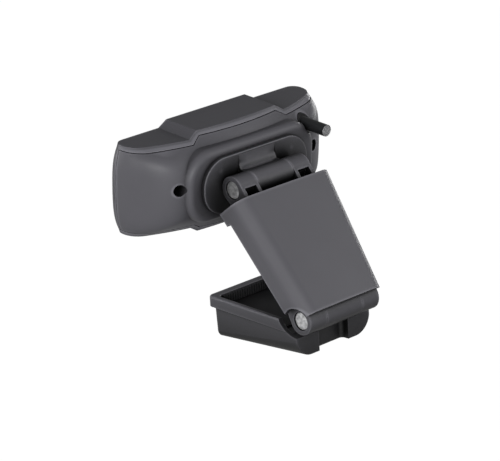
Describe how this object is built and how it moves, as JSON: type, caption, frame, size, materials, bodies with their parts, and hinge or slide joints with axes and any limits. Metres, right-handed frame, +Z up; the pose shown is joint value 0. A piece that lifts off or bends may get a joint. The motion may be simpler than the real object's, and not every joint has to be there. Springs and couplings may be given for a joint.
{
  "type": "folding clip webcam",
  "caption": "Webcam with a wide bowed head, hinged to a flat arm that folds on a tray-shaped clip foot with a tripod thread.",
  "frame": {"origin": "mouth of the tripod thread, on the plane that the foot rests on", "axes": "+Z up, +Y the way the lens looks, X along both hinges"},
  "size_m": [0.103, 0.0784, 0.0891],
  "materials": {
    "housing_plastic": "fine matte texture",
    "gloss_black": "gloss",
    "optics_black": "matte",
    "steel": "zinc plated",
    "brass_insert": "machined",
    "rubber": "matte",
    "cable_jacket": "satin",
    "clear_glass": "polished",
    "board": "solder mask",
    "connector_white": "natural nylon",
    "light_guide": "clear"
  },
  "bodies": {
    "base": {"base_tray": "housing_plastic", "tray_floor_pad": "rubber", "front_wall_pad": "rubber", "sole_plate": "housing_plastic", "sole_screws": "steel", "tripod_insert": "brass_insert"},
    "arm": {"arm_cover": "housing_plastic", "arm_link": "housing_plastic", "arm_screws": "steel", "arm_grip_pad": "rubber", "lower_hinge_pin": "steel", "lower_friction_washers": "steel", "lower_pin_ring": "steel", "upper_hinge_pin": "steel", "upper_friction_washers": "steel", "upper_pin_ring": "steel"},
    "head": {"front_shell": "housing_plastic", "rear_cover": "housing_plastic", "hinge_boss": "housing_plastic", "boss_screws": "steel", "housing_screws": "steel", "front_panel": "gloss_black", "lens_ring": "gloss_black", "cover_glass": "clear_glass", "lens_holder": "optics_black", "lens_barrel": "optics_black", "lens_elements": "clear_glass", "infrared_filter": "clear_glass", "image_sensor": "optics_black", "main_board": "board", "board_screws": "steel", "microphones": "steel", "cable_connector": "connector_white", "status_led": "light_guide", "status_light_guide": "light_guide", "cable_grommet": "rubber", "usb_cable": "cable_jacket"}
  },
  "joints": [
    {"name": "arm_fold", "type": "hinge", "parent": "base", "child": "arm", "pos_m": [0, -0.02637, 0.01579], "axis": [1, 0, 0], "range_deg": [-18, 95]},
    {"name": "head_tilt", "type": "hinge", "parent": "arm", "child": "head", "pos_m": [0, 0.00614, 0.06381], "axis": [1, 0, 0], "range_deg": [-25, 35]}
  ]
}
